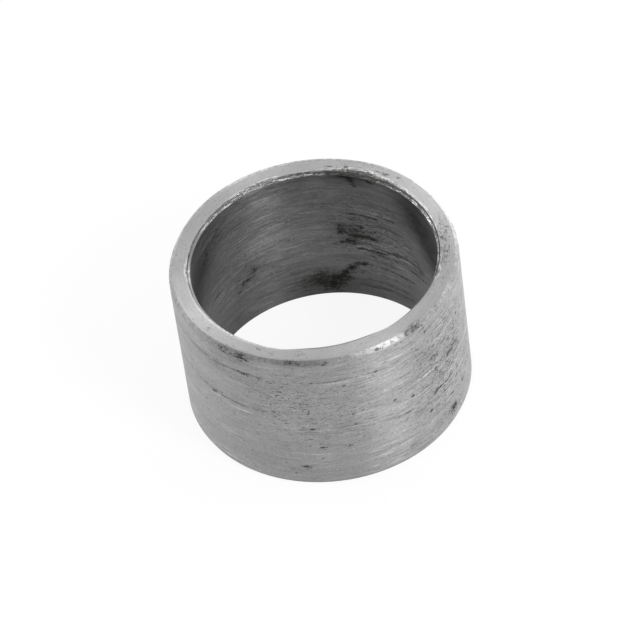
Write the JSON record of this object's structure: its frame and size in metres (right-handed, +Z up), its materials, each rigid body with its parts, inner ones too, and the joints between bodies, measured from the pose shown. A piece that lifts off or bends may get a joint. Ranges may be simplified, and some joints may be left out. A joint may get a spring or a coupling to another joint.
{
  "type": "steel spacer",
  "caption": "Short thin-walled round steel spacer ring with bevelled rims. It slips over a shaft and holds the parts on it a set distance apart.",
  "frame": {"origin": "centre of the lower end face, on the bore's axis", "axes": "+Z up along the bore, towards the rim with the filed bevel; the ring is the same all round in X and Y"},
  "size_m": [0.0318, 0.0318, 0.0191],
  "materials": {
    "bare_steel": "bare turned steel, fine marks round the ring, small dark pits and oil-dark stains, darker in the bore"
  },
  "bodies": {
    "root": {"spacer_ring": "bare_steel"}
  },
  "joints": []
}
